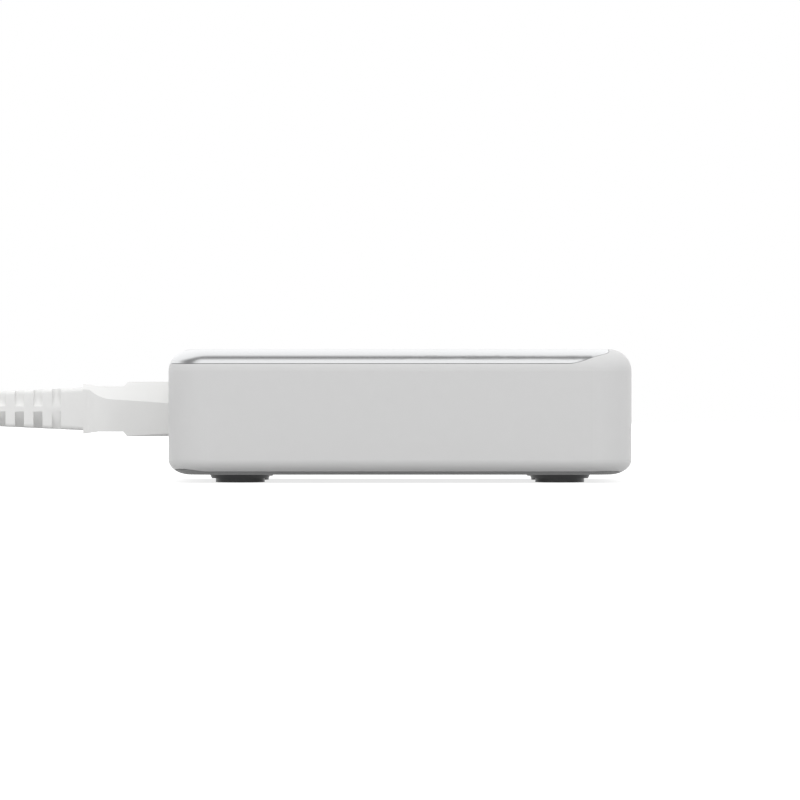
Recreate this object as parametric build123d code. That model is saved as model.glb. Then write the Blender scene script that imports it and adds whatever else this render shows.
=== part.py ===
from build123d import *
import os
from math import cos, radians, sin, sqrt, tan

# X runs from the mains inlet (-) to the USB ports (+), Y across, Z up. The feet stand on z = 0.
# All lengths are in millimetres.

# Body shell
BODY_LENGTH = 125.0
BODY_WIDTH = 76.0
BODY_HEIGHT = 33.8
STAND_OFF = 2.2             # table to the underside of the body
BODY_CORNER = 11.0          # plan radius of the upright corners
TOP_EDGE = 6.0              # round edge around the top
BOTTOM_EDGE_INSET = 5.9     # elliptical edge below: how far it reaches in
BOTTOM_EDGE_RISE = 4.1      # and how far it reaches up
WALL = 2.0

# Top and bottom covers, let into the housing
TOP_SEAM_DROP = 4.0         # seam below the top face
BOTTOM_SEAM_RISE = 0.95     # seam above the underside, along the sides
TOP_FRONT_LIP = 6.4         # strip of the housing in front of the top cover
BOTTOM_FRONT_LIP = 3.0      # and of the bottom cover
REAR_LIP = 1.9              # strip of the housing behind the bottom cover
TOP_COVER_CORNER = (11.6, 4.5)      # elliptical turn of the seam in plan, along X and across Y
BOTTOM_COVER_CORNER = (7.0, 7.0)
BOTTOM_RIM = 1.6            # rim of the bottom cover, from the underside up
FLANGE = 2.0                # flange of the housing over that rim
SEAM_GAP = 0.13
FRONT_SEAM_GAP = 0.07       # at the front, where the top cover is pushed home
SEAM_START = 0.02           # how far the plan of the top cover passes the body at the seam
SHELF_DEPTH = 2.0           # ledge under the front edge of a cover
SHELF_HEIGHT = 1.6
RIB_THICKNESS = 1.2         # locating rib inside the wall
RIB_REACH = 1.8
RIB_CLEARANCE = 0.1

# Feet, and the screws that they hide
FOOT_INSET_X = 19.1         # foot centre from the end of the body
FOOT_INSET_Y = 19.0
FOOT_TOP_DIAMETER = 16.5
FOOT_EDGE_DIAMETER = 15.5
FOOT_PAD_DIAMETER = 13.3
FOOT_PAD_HEIGHT = 1.1
FOOT_RECESS = 0.6
FOOT_CLEARANCE = 0.15
SCREW_DIAMETER = 2.6
SCREW_LENGTH = 12.0
SCREW_HEAD_DIAMETER = 5.0
SCREW_HEAD_HEIGHT = 1.8
SCREW_DRIVE_WIDTH = 0.8
SCREW_DRIVE_LENGTH = 3.2
SCREW_DRIVE_DEPTH = 0.9
SCREW_HEAD_SINK = 0.2       # screw head above the top of the foot
SCREW_PLAY = 0.3            # free space around a shank that doesn't bite
SCREW_FIT = 0.04            # space around a shank in the hole that it bites in
LOWER_BOSS_DIAMETER = 7.2
UPPER_BOSS_DIAMETER = 6.0
UPPER_BOSS_HOLE = 9.0

# Circuit boards
BOARD_THICKNESS = 1.6
BOARD_CLEARANCE = 3.8       # floor of the body to the main board
BOARD_MARGIN = 2.0          # inside of the wall to the edge of the main board
BOARD_CORNER = 6.0
BOARD_TOE = 2.0             # main board in front of the port board
SHEET_THICKNESS = 0.4
SHEET_PLAY = 0.6            # sheet to the round edge of the floor and to the ledge at the front
SHEET_CORNER = 4.0
SHEET_HOLE_PLAY = 0.5
PORT_BOARD_WIDTH = 54.0
PORT_BOARD_HEIGHT = 20.0

# USB ports: upright, in a row across the front
PORT_HEIGHT = 16.8          # port axis above the underside of the body
PORT_PITCH = 13.5
PORT_LENGTH = 12.0          # port board to the mouth of a shell
PORT_RECESS = 0.4           # mouth behind the front face
PORT_CLEARANCE = 0.15       # between a shell and the housing
PORT_BEVEL = 0.4            # bevel around each opening
USB_C_COUNT = 3
USB_C_LONG = 8.94
USB_C_SHORT = 3.26
USB_C_SHEET = 0.32
USB_C_TONGUE_WIDTH = 6.7
USB_C_TONGUE_THICKNESS = 0.7
USB_C_TONGUE_EDGE = 0.23
USB_C_TONGUE_LENGTH = 5.0
USB_C_TONGUE_TIP = 0.8      # tip of the tongue behind the mouth
USB_A_LONG = 13.1
USB_A_SHORT = 5.7
USB_A_SHEET = 0.3
USB_A_CORNER = 0.6
USB_A_TONGUE_WIDTH = 11.1
USB_A_TONGUE_THICKNESS = 1.9
USB_A_TONGUE_LENGTH = 8.4
USB_A_TONGUE_TIP = 1.0
USB_A_TONGUE_SHIFT = 1.0    # tongue off the middle of the shell
USB_A_CONTACT_COUNT = 4
USB_A_CONTACT_PITCH = 2.3
USB_A_CONTACT_WIDTH = 1.0
USB_A_CONTACT_THICKNESS = 0.25
USB_A_CONTACT_LENGTH = 7.0
PORT_FIT = 0.05             # between an insulator and the shell around it

# Mains inlet, three lobes with the earth uppermost
INLET_HEIGHT = 17.65        # axis above the underside of the body
INLET_WIDTH = 20.4
INLET_TALL = 16.6
INLET_CORNER = 2.0
INLET_DEPTH = 16.5
INLET_RECESS = 13.5
INLET_FLANGE = 1.5          # flange inside the wall: how far it stands out, and its thickness
INLET_CLEARANCE = 0.15
LOBE_RADIUS = 3.7
LOBE_SIDE = 4.5             # live and neutral to either side of the axis
LOBE_LOW = -2.0             # and their height from the axis
LOBE_HIGH = 3.2             # earth above the axis
LOBE_NOTCH = 2.6            # depth of the web between the lower lobes
LOBE_PLAY = 0.3
PIN_DIAMETER = 2.3
PIN_SET_BACK = 4.0          # pin tip behind the face of the inlet
PIN_LEG_LINE = 1.6          # live and neutral legs behind the inlet
PIN_LEG_EARTH = 4.4
PIN_LEG_PLAY = 0.2
PIN_LEG_PROUD = 1.2         # leg below the board

# Components on the main board
PART_GAP = 2.0              # least space between neighbours
BRIDGE_SIZE = (3.4, 18.0, 14.0)
BRIDGE_BEVEL = 2.5
BRIDGE_HOLE = 3.2
INDUCTOR_SIZE = (21.0, 19.0, 17.0)
INDUCTOR_POST = 4.2         # radius
INDUCTOR_WINDOW = 8.6       # radius
TRANSFORMER_SIZE = (27.0, 20.0, 20.5)
TRANSFORMER_POST = 5.5
TRANSFORMER_WINDOW = 11.0
CORE_PLATE = 3.4            # thickness of a core above and below its winding
BOBBIN_WALL = 0.9
BOBBIN_FIT = 0.15
RECTIFIER_HEATSINK = (2.0, 28.0, 17.0)
SWITCH_HEATSINK = (36.0, 2.0, 19.0)
HEATSINK_FOOT = 5.0
SWITCH_SIZE = (10.2, 4.5, 15.0)
SWITCH_COUNT = 2
SWITCH_PITCH = 17.0
SWITCH_BEVEL = 1.2
SWITCH_LIFT = 2.0           # package above the board
BULK_DIAMETER = 14.0
BULK_HEIGHT = 21.0
BULK_COUNT = 3
OUTPUT_DIAMETER = 8.0
OUTPUT_HEIGHT = 12.0
OUTPUT_COUNT = 3
CAN_GROOVE = 0.5
CAN_GROOVE_HEIGHT = 2.2
CAN_EDGE = 0.6
FILM_SIZE = (18.0, 8.5, 14.5)
FILM_BEVEL = 0.8
FUSE_DIAMETER = 8.4
FUSE_HEIGHT = 8.0
FUSE_EDGE = 0.8
CHOKE_OUTER = 8.0           # radii of the toroid
CHOKE_INNER = 4.2
CHOKE_HEIGHT = 7.0
CHOKE_WIRE = 1.0
CHOKE_SPAN = 140.0          # degrees of the ring under each winding
SAFETY_DIAMETER = 8.5
SAFETY_THICKNESS = 4.0
SAFETY_EDGE = 1.2
EDGE_GAP = 1.5              # component to the edge of the board

# Mains lead: connector and its strain relief
LEAD_SEAT_GAP = 0.3         # shoulder of the connector off the face of the inlet
NOSE_LENGTH = 12.6
HEAD_LENGTH = 13.4          # rear face of the body to the step behind the head
HEAD_HALF_WIDTH = 8.67
HEAD_HALF_HEIGHT = 7.48
HEAD_TOP_HALF_WIDTH = 3.35
HEAD_SHOULDER = 1.56        # foot of the sloping side above the axis
HEAD_BEVEL = 1.0            # length of the slanted step behind the head, above and below
HEAD_LOW_EDGE = 0.8
NECK_END = 24.6             # from the rear face of the body
NECK_HALF_HEIGHT = 6.25
NECK_WAIST = 19.2           # where the neck starts to draw in, from the rear face
NECK_WAIST_HALF_WIDTH = 7.55
NECK_BEND = (22.7, 5.95)    # a point of the drawn-in curve
FLANGE_START = 20.5
FLANGE_HALF_HEIGHT = 6.85
FLANGE_HALF_WIDTH = 5.4
RELIEF_END = 56.5
RELIEF_ROOT = (5.2, 5.9)    # half width and half height
RELIEF_TIP = (4.1, 4.45)
RELIEF_EDGE = 1.2
NOTCH_COUNT = 5
NOTCH_FIRST = 31.95         # from the rear face of the body
NOTCH_PITCH = 5.1
NOTCH_WIDTH = 2.5
NOTCH_WEB = 0.7             # half of the web left at each side
NOTCH_RIDGE = 0.9           # half of the ridge left above and below
NOTCH_FIRST_SHARE = 0.4     # the first notch is shallower
CONTACT_DIAMETER = 3.2
CONTACT_LENGTH = 10.5
CONTACT_SINK = 0.6          # sleeve behind the face of the nose
CONTACT_PLAY = 0.05

# Mains lead: cord, coil, tie and plug
CORD_DIAMETER = 6.0
COIL_INNER = 30.0
COIL_OUTER = 42.0
COIL_HEIGHT = 12.0
COIL_EDGE = 2.4
TIE_THICKNESS = 0.8
TIE_SPAN = 14.0             # degrees of the coil under the tie
TIE_ANGLE = 120.0
COIL_PLACE = (-85.5, 11.8)  # coil centre from the end of the strain relief
LEAD_STEPS = [(-18.0, 0.0, 0.0), (-36.5, -4.5, -7.0), (-53.5, -14.0, -14.2), (-66.5, -21.5, -16.0)]
TAIL_START = 62.0           # where the tail leaves the coil, degrees
TAIL_STEPS = [(62.0, 0.0), (28.0, 1.4), (-6.0, 5.8), (-40.0, 11.0), (-74.0, 14.5), (-106.0, 14.5)]
TAIL_RADIUS = 33.0
TAIL_SHIFT = 6.0            # centre of the tail from the centre of the coil
BEND_SHARE = 0.45           # part of the shorter run that an arc takes
PLUG_RELIEF = 8.0
PLUG_RELIEF_TIP = 4.1       # radii of its strain relief
PLUG_RELIEF_ROOT = 5.6
PLUG_GROOVES = 2
PLUG_GROOVE_WIDTH = 1.2
PLUG_GROOVE_DEPTH = 0.9
PLUG_STEP = 1.0             # shoulder around the root of the strain relief
PLUG_TAPER = 7.0
PLUG_BODY = 17.0
PLUG_WIDTH = 24.0
PLUG_HEIGHT = 23.0
PLUG_CORNER = 4.0
PLUG_FACE_EDGE = 0.8
BLADE_LENGTH = 15.9
BLADE_THICKNESS = 1.5
BLADE_WIDTH = 6.3
BLADE_SPACING = 12.7
BLADE_RISE = 5.4            # blades above the axis of the cord
BLADE_HOLE = 2.0
BLADE_HOLE_PLACE = 11.1     # from the face of the plug
BLADE_BEVEL = 1.2
EARTH_DIAMETER = 4.75
EARTH_LENGTH = 18.4
EARTH_DROP = 6.4            # earth pin below the axis of the cord
BLADE_ROOT = 6.0            # length of each pin inside the plug

# Levels and planes that follow from the sizes above
BODY_BOTTOM = STAND_OFF
BODY_TOP = STAND_OFF + BODY_HEIGHT
FRONT = BODY_LENGTH / 2
REAR = -BODY_LENGTH / 2
SIDE = BODY_WIDTH / 2
FLOOR = BODY_BOTTOM + WALL
ROOF = BODY_TOP - WALL
TOP_SEAM = BODY_TOP - TOP_SEAM_DROP
RIM_TOP = BODY_BOTTOM + BOTTOM_RIM
BOARD_BOTTOM = FLOOR + BOARD_CLEARANCE
BOARD_TOP = BOARD_BOTTOM + BOARD_THICKNESS
SCREW_SEAT = BODY_BOTTOM + FOOT_RECESS + SCREW_HEAD_SINK + SCREW_HEAD_HEIGHT
FOOT_SPOTS = [(sx * (FRONT - FOOT_INSET_X), sy * (SIDE - FOOT_INSET_Y)) for sx in (-1, 1) for sy in (-1, 1)]
PORT_MOUTH = FRONT - PORT_RECESS
PORT_BOARD_FRONT = PORT_MOUTH - PORT_LENGTH
PORT_LEVEL = BODY_BOTTOM + PORT_HEIGHT
PORT_COUNT = USB_C_COUNT + 1
PORT_SPOTS = [(i - (PORT_COUNT - 1) / 2) * PORT_PITCH for i in range(PORT_COUNT)]
INLET_LEVEL = BODY_BOTTOM + INLET_HEIGHT
INLET_BACK = REAR + INLET_DEPTH
PIN_SPOTS = {"line": (-LOBE_SIDE, LOBE_LOW), "neutral": (LOBE_SIDE, LOBE_LOW), "earth": (0.0, LOBE_HIGH)}
BOARD_REAR = REAR + WALL + BOARD_MARGIN
BOARD_FRONT = PORT_BOARD_FRONT + BOARD_TOE
BOARD_SIDE = SIDE - WALL - BOARD_MARGIN
RELIEF_TAIL = Vector(REAR - RELIEF_END, 0, INLET_LEVEL)
COIL_CENTRE = Vector(RELIEF_TAIL.X + COIL_PLACE[0], RELIEF_TAIL.Y + COIL_PLACE[1], 0)
COIL_BOTTOM = TIE_THICKNESS
COIL_TOP = COIL_BOTTOM + COIL_HEIGHT


def edge_inset(height, inset, rise):
    """How far an elliptical edge lies inside the wall at a height above the flat face that it meets."""
    return inset * (1 - sqrt(1 - (1 - height / rise) ** 2))


def rounded_box(length, width, bottom, top, corner, low_edge, high_edge):
    """Box with round upright corners and elliptical edges, each edge given as (inset, height)."""
    low_in, low_up = low_edge
    high_in, high_down = high_edge

    def half_section(reach):
        return make_face([
            Line((0, bottom), (reach - low_in, bottom)),
            EllipticalCenterArc((reach - low_in, bottom + low_up), low_in, low_up, -90, arc_size=90),
            Line((reach, bottom + low_up), (reach, top - high_down)),
            EllipticalCenterArc((reach - high_in, top - high_down), high_in, high_down, 0, arc_size=90),
            Line((reach - high_in, top), (0, top)),
            Line((0, top), (0, bottom)),
        ])

    along = length / 2 - corner
    across = width / 2 - corner
    front = extrude(Plane.XZ * half_section(length / 2), across, both=True)
    left = extrude(Plane.YZ * half_section(width / 2), along, both=True)
    post = revolve(Plane.XZ * half_section(corner), Axis.Z)
    form = front + mirror(front, Plane.YZ) + left + mirror(left, Plane.XZ)
    for x in (-along, along):
        for y in (-across, across):
            form += Pos(x, y) * post
    return form


BODY = rounded_box(BODY_LENGTH, BODY_WIDTH, BODY_BOTTOM, BODY_TOP, BODY_CORNER,
                   (BOTTOM_EDGE_INSET, BOTTOM_EDGE_RISE), (TOP_EDGE, TOP_EDGE))
CAVITY = rounded_box(BODY_LENGTH - 2 * WALL, BODY_WIDTH - 2 * WALL, FLOOR, ROOF, BODY_CORNER - WALL,
                     (BOTTOM_EDGE_INSET - WALL, BOTTOM_EDGE_RISE - WALL),
                     (TOP_EDGE - WALL, TOP_EDGE - WALL))


def cover_plan(half_width, rear, front, corner):
    """Plan of a cover between two stations, with elliptical corners given as (along X, across Y)."""
    along, across = corner
    back = rear + along
    nose = front - along
    shoulder = half_width - across
    return make_face([
        Line((back, -half_width), (nose, -half_width)),
        EllipticalCenterArc((nose, -shoulder), along, across, -90, arc_size=90),
        Line((front, -shoulder), (front, shoulder)),
        EllipticalCenterArc((nose, shoulder), along, across, 0, arc_size=90),
        Line((nose, half_width), (back, half_width)),
        EllipticalCenterArc((back, shoulder), along, across, 90, arc_size=90),
        Line((rear, shoulder), (rear, -shoulder)),
        EllipticalCenterArc((back, -shoulder), along, across, 180, arc_size=90),
    ])


def off_the_back(corner):
    """Station behind the body from which a plan with such corners crosses the rear wall at full width."""
    return REAR - 2 * corner[0]


def top_block(gap, front_gap):
    """Everything that the top cover takes from the body, less the gaps at the seam."""
    inset = edge_inset(TOP_SEAM_DROP - gap, TOP_EDGE, TOP_EDGE)
    front = FRONT - TOP_FRONT_LIP - front_gap
    plan = cover_plan(SIDE - inset + SEAM_START, off_the_back(TOP_COVER_CORNER), front, TOP_COVER_CORNER)
    return extrude(Pos(0, 0, TOP_SEAM + gap) * plan, BODY_HEIGHT)


def bottom_block(gap):
    """Everything that the bottom cover, a rim with a raised core, takes from the body, less a gap."""
    half_width = SIDE - edge_inset(BOTTOM_SEAM_RISE, BOTTOM_EDGE_INSET, BOTTOM_EDGE_RISE) - gap
    rear = REAR + REAR_LIP + gap
    front = FRONT - BOTTOM_FRONT_LIP - gap
    along, across = BOTTOM_COVER_CORNER
    rim = cover_plan(half_width, rear, front, BOTTOM_COVER_CORNER)
    core = cover_plan(half_width - FLANGE, rear + FLANGE, front - FLANGE, (along - FLANGE, across - FLANGE))
    seat = Pos(0, 0, RIM_TOP - gap)
    return extrude(seat * rim, -BODY_HEIGHT) + extrude(seat * core, BOTTOM_EDGE_RISE)


def shelf(low, high, lip, corner):
    """Ledge behind the front wall that carries the front edge of a cover."""
    slab = Pos(0, 0, (low + high) / 2) * Box(BODY_LENGTH, BODY_WIDTH, high - low)
    open_plan = cover_plan(SIDE, off_the_back(corner), FRONT - lip - SHELF_DEPTH, corner)
    return (CAVITY & slab) - extrude(Pos(0, 0, low) * open_plan, high - low)


def locating_rib(low, high, inset):
    """Rib of the top cover that stands just inside the wall at the sides and the back."""
    outer = RectangleRounded(BODY_LENGTH - 2 * inset, BODY_WIDTH - 2 * inset, BODY_CORNER - inset)
    deep = inset + RIB_THICKNESS
    inner = RectangleRounded(BODY_LENGTH - 2 * deep, BODY_WIDTH - 2 * deep, BODY_CORNER - deep)
    ring = extrude(Pos(0, 0, low) * (outer - inner), high - low)
    end = FRONT - TOP_FRONT_LIP - TOP_COVER_CORNER[0] - 2 * SHELF_DEPTH
    keep = Pos(end - BODY_LENGTH / 2, 0, (low + high) / 2) * Box(BODY_LENGTH, BODY_WIDTH, high - low)
    return ring & keep


def port_outline(index, grow):
    """Outline of one USB shell, upright on the front, grown all round."""
    if index < USB_C_COUNT:
        flat = SlotOverall(USB_C_LONG + 2 * grow, USB_C_SHORT + 2 * grow, rotation=90)
    else:
        flat = RectangleRounded(USB_A_SHORT + 2 * grow, USB_A_LONG + 2 * grow, USB_A_CORNER + grow)
    return Pos(PORT_SPOTS[index], PORT_LEVEL) * flat


def along_x(sketch, start, end):
    """Solid of a YZ sketch between two stations along X."""
    return Pos(start, 0, 0) * extrude(Plane.YZ * sketch, end - start)


def inlet_outline(grow):
    """Outline of the inlet body in the rear wall."""
    flat = RectangleRounded(INLET_WIDTH + 2 * grow, INLET_TALL + 2 * grow, INLET_CORNER + grow)
    return Pos(0, INLET_LEVEL) * flat


def main_housing():
    """Walls of the body with the front strips, the port openings and the inlet opening."""
    shell = BODY - CAVITY - top_block(0, 0) - bottom_block(0)
    shell += shelf(ROOF - SHELF_HEIGHT, ROOF, TOP_FRONT_LIP, TOP_COVER_CORNER)
    shell += shelf(FLOOR, FLOOR + SHELF_HEIGHT, BOTTOM_FRONT_LIP + FLANGE, BOTTOM_COVER_CORNER)
    for i in range(PORT_COUNT):
        shell -= along_x(port_outline(i, PORT_CLEARANCE), FRONT - 2 * WALL, FRONT + WALL)
        mouth = Plane.YZ.offset(FRONT) * port_outline(i, PORT_CLEARANCE + PORT_BEVEL)
        shell -= loft([mouth, Plane.YZ.offset(FRONT - PORT_BEVEL) * port_outline(i, PORT_CLEARANCE)])
    return shell - along_x(inlet_outline(INLET_CLEARANCE), REAR - WALL, REAR + 2 * WALL)


def top_cover():
    """Polished top with a rib inside the wall and four long bosses that press on the board."""
    cover = (BODY & top_block(SEAM_GAP, FRONT_SEAM_GAP)) - CAVITY
    inset = WALL + edge_inset(TOP_SEAM_DROP - WALL, TOP_EDGE - WALL, TOP_EDGE - WALL) + RIB_CLEARANCE
    cover += locating_rib(TOP_SEAM - RIB_REACH, ROOF, inset)
    bite = SCREW_DIAMETER / 2 + SCREW_FIT
    for x, y in FOOT_SPOTS:
        boss = Pos(x, y, BOARD_TOP) * extrude(Circle(UPPER_BOSS_DIAMETER / 2), ROOF - BOARD_TOP)
        cover = cover + boss - Pos(x, y, BOARD_TOP) * extrude(Circle(bite), UPPER_BOSS_HOLE)
    return cover


def bottom_cover():
    """Bottom with a thin rim, recesses for the feet and four bosses under the board."""
    cover = (BODY & bottom_block(SEAM_GAP)) - CAVITY
    recess = Circle(FOOT_TOP_DIAMETER / 2 + FOOT_CLEARANCE)
    for x, y in FOOT_SPOTS:
        spot = Pos(x, y, BODY_BOTTOM)
        cover += Pos(x, y, FLOOR) * extrude(Circle(LOWER_BOSS_DIAMETER / 2), BOARD_BOTTOM - FLOOR)
        cover -= spot * extrude(recess, FOOT_RECESS)
        cover -= spot * extrude(Circle(SCREW_HEAD_DIAMETER / 2 + SCREW_PLAY), SCREW_SEAT - BODY_BOTTOM)
        cover -= spot * extrude(Circle(SCREW_DIAMETER / 2 + SCREW_PLAY), BODY_HEIGHT)
    return cover


def foot():
    """Stepped rubber foot on its own axis, standing on z = 0."""
    top = STAND_OFF + FOOT_RECESS
    profile = Polyline(
        (0, 0), (FOOT_PAD_DIAMETER / 2, 0), (FOOT_PAD_DIAMETER / 2, FOOT_PAD_HEIGHT),
        (FOOT_EDGE_DIAMETER / 2, FOOT_PAD_HEIGHT), (FOOT_TOP_DIAMETER / 2, STAND_OFF),
        (FOOT_TOP_DIAMETER / 2, top), (0, top), close=True)
    return revolve(Plane.XZ * make_face(profile), Axis.Z)


def cover_screw():
    """Screw on its own axis with the seat of its head at z = 0."""
    head = extrude(Circle(SCREW_HEAD_DIAMETER / 2), -SCREW_HEAD_HEIGHT)
    bar = Rectangle(SCREW_DRIVE_LENGTH, SCREW_DRIVE_WIDTH)
    drive = extrude(Pos(0, 0, -SCREW_HEAD_HEIGHT) * (bar + Rot(0, 0, 90) * bar), SCREW_DRIVE_DEPTH)
    return head - drive + extrude(Circle(SCREW_DIAMETER / 2), SCREW_LENGTH)


def leg_place(name):
    """Plan place of the leg that takes an inlet pin down to the main board."""
    behind = PIN_LEG_EARTH if name == "earth" else PIN_LEG_LINE
    return INLET_BACK + behind, PIN_SPOTS[name][0]


def main_board():
    """Power board with holes for the screws and for the legs of the inlet."""
    length = BOARD_FRONT - BOARD_REAR
    plan = Pos((BOARD_FRONT + BOARD_REAR) / 2, 0) * RectangleRounded(length, 2 * BOARD_SIDE, BOARD_CORNER)
    for x, y in FOOT_SPOTS:
        plan -= Pos(x, y) * Circle(SCREW_DIAMETER / 2 + SCREW_PLAY)
    for name in PIN_SPOTS:
        plan -= Pos(*leg_place(name)) * Circle(PIN_DIAMETER / 2 + PIN_LEG_PLAY)
    return extrude(Pos(0, 0, BOARD_BOTTOM) * plan, BOARD_THICKNESS)


def insulating_sheet():
    """Thin sheet on the floor under the main board."""
    rear = REAR + BOTTOM_EDGE_INSET + SHEET_PLAY
    front = FRONT - BOTTOM_FRONT_LIP - FLANGE - SHELF_DEPTH - SHEET_PLAY
    width = BODY_WIDTH - 2 * (BOTTOM_EDGE_INSET + SHEET_PLAY)
    plan = Pos((rear + front) / 2, 0) * RectangleRounded(front - rear, width, SHEET_CORNER)
    for x, y in FOOT_SPOTS:
        plan -= Pos(x, y) * Circle(LOWER_BOSS_DIAMETER / 2 + SHEET_HOLE_PLAY)
    return extrude(Pos(0, 0, FLOOR) * plan, SHEET_THICKNESS)


def port_board():
    """Upright board behind the front that carries the four ports."""
    plan = Pos(0, BOARD_TOP + PORT_BOARD_HEIGHT / 2) * Rectangle(PORT_BOARD_WIDTH, PORT_BOARD_HEIGHT)
    return along_x(plan, PORT_BOARD_FRONT - BOARD_THICKNESS, PORT_BOARD_FRONT)


def port_shell(index):
    """Metal shell of one port, from the port board to its mouth."""
    sheet = USB_C_SHEET if index < USB_C_COUNT else USB_A_SHEET
    return along_x(port_outline(index, 0) - port_outline(index, -sheet), PORT_BOARD_FRONT, PORT_MOUTH)


def usb_c_tongue(index):
    """Insulator of a USB-C port: a block at the back of the shell with a thin upright tongue."""
    tip = PORT_MOUTH - USB_C_TONGUE_TIP
    root = tip - USB_C_TONGUE_LENGTH
    block = along_x(port_outline(index, -USB_C_SHEET - PORT_FIT), PORT_BOARD_FRONT, root)
    blade = RectangleRounded(USB_C_TONGUE_THICKNESS, USB_C_TONGUE_WIDTH, USB_C_TONGUE_EDGE)
    return block + along_x(Pos(PORT_SPOTS[index], PORT_LEVEL) * blade, PORT_BOARD_FRONT, tip)


def usb_a_tongue():
    """Insulator of the USB-A port: a block at the back of the shell with a thick tongue off the middle."""
    index = USB_C_COUNT
    tip = PORT_MOUTH - USB_A_TONGUE_TIP
    root = tip - USB_A_TONGUE_LENGTH
    block = along_x(port_outline(index, -USB_A_SHEET - PORT_FIT), PORT_BOARD_FRONT, root)
    blade = Rectangle(USB_A_TONGUE_THICKNESS, USB_A_TONGUE_WIDTH)
    place = Pos(PORT_SPOTS[index] + USB_A_TONGUE_SHIFT, PORT_LEVEL)
    return block + along_x(place * blade, PORT_BOARD_FRONT, tip)


def usb_a_contacts():
    """Four spring contacts along the inner face of the USB-A tongue."""
    face = PORT_SPOTS[USB_C_COUNT] + USB_A_TONGUE_SHIFT - USB_A_TONGUE_THICKNESS / 2
    root = PORT_MOUTH - USB_A_TONGUE_TIP - USB_A_TONGUE_LENGTH
    flat = Rectangle(USB_A_CONTACT_THICKNESS, USB_A_CONTACT_WIDTH)
    strips = []
    for i in range(USB_A_CONTACT_COUNT):
        level = PORT_LEVEL + (i - (USB_A_CONTACT_COUNT - 1) / 2) * USB_A_CONTACT_PITCH
        place = Pos(face - USB_A_CONTACT_THICKNESS / 2, level)
        strips.append(along_x(place * flat, root, root + USB_A_CONTACT_LENGTH))
    return Compound(children=strips)


def trefoil(grow):
    """Three-lobed outline of the mains coupling, grown all round."""
    flat = Polygon(*PIN_SPOTS.values(), align=None)
    flat += Pos(0, LOBE_LOW - LOBE_NOTCH / 2) * Rectangle(2 * LOBE_SIDE, LOBE_NOTCH + 2 * grow)
    for y, z in PIN_SPOTS.values():
        flat += Pos(y, z) * Circle(LOBE_RADIUS + grow)
    return Pos(0, INLET_LEVEL) * flat


def inlet_body():
    """Insulating body of the mains inlet, flush with the rear face and flanged inside the wall."""
    block = along_x(inlet_outline(0), REAR, INLET_BACK)
    block += along_x(inlet_outline(INLET_FLANGE), REAR + WALL, REAR + WALL + INLET_FLANGE)
    block -= along_x(trefoil(LOBE_PLAY), REAR, REAR + INLET_RECESS)
    for y, z in PIN_SPOTS.values():
        block -= along_x(Pos(y, INLET_LEVEL + z) * Circle(PIN_DIAMETER / 2), REAR, INLET_BACK)
    return block


def inlet_pin(name):
    """One pin of the inlet with the leg that goes down through the main board."""
    y, z = PIN_SPOTS[name]
    level = INLET_LEVEL + z
    elbow = leg_place(name)[0]
    pin = along_x(Pos(y, level) * Circle(PIN_DIAMETER / 2), REAR + PIN_SET_BACK, elbow)
    pin += Pos(elbow, y, level) * Sphere(PIN_DIAMETER / 2)
    foot_level = BOARD_BOTTOM - PIN_LEG_PROUD
    return pin + Pos(elbow, y, foot_level) * extrude(Circle(PIN_DIAMETER / 2), level - foot_level)


def on_board(shape, x, y):
    """A component moved from its own origin to a place on the main board."""
    return Pos(x, y, BOARD_TOP) * shape


def block(size, bevel):
    """Component block on z = 0 with bevelled upper edges."""
    solid = Box(*size, align=(Align.CENTER, Align.CENTER, Align.MIN))
    return chamfer(solid.faces().sort_by(Axis.Z)[-1].edges(), bevel)


def can(diameter, height):
    """Capacitor can on z = 0 with a crimped groove and a round upper edge."""
    body = extrude(Circle(diameter / 2), height)
    body = fillet(body.faces().sort_by(Axis.Z)[-1].edges(), CAN_EDGE)
    groove = Circle(diameter / 2) - Circle(diameter / 2 - CAN_GROOVE)
    return body - extrude(Pos(0, 0, CAN_GROOVE_HEIGHT) * groove, CAN_GROOVE)


def bridge_rectifier():
    """Flat upright rectifier with a cut corner and a fixing hole."""
    thick, wide, tall = BRIDGE_SIZE
    flat = Pos(0, tall / 2) * Rectangle(wide, tall)
    flat = chamfer(flat.vertices().sort_by(Axis.X).sort_by(Axis.Y)[-1:], BRIDGE_BEVEL)
    return along_x(flat - Pos(0, tall / 2) * Circle(BRIDGE_HOLE / 2), -thick / 2, thick / 2)


def core(size, post, window):
    """Ferrite core: a block with a round window around its middle post, open at the two sides."""
    tall = size[2]
    inside = tall - 2 * CORE_PLATE
    solid = Box(*size, align=(Align.CENTER, Align.CENTER, Align.MIN))
    gap = Circle(window) - Circle(post)
    return solid - extrude(Pos(0, 0, CORE_PLATE) * gap, inside)


def bobbin(size, post, window):
    """Bobbin around the post of a core, with a flange at each end."""
    inside = size[2] - 2 * CORE_PLATE
    hole = post + BOBBIN_FIT
    tube = extrude(Circle(hole + BOBBIN_WALL) - Circle(hole), inside)
    flange = extrude(Circle(window - BOBBIN_FIT) - Circle(hole), BOBBIN_WALL)
    return Pos(0, 0, CORE_PLATE) * (tube + flange + Pos(0, 0, inside - BOBBIN_WALL) * flange)


def winding(size, post, window):
    """Winding that fills a bobbin between its flanges."""
    inside = size[2] - 2 * CORE_PLATE - 2 * BOBBIN_WALL
    ring = Circle(window - BOBBIN_WALL) - Circle(post + BOBBIN_FIT + BOBBIN_WALL)
    return Pos(0, 0, CORE_PLATE + BOBBIN_WALL) * extrude(ring, inside)


def choke_core():
    """Toroid that lies on the board, lifted by one wire."""
    return Pos(0, 0, CHOKE_WIRE) * extrude(Circle(CHOKE_OUTER) - Circle(CHOKE_INNER), CHOKE_HEIGHT)


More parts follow.
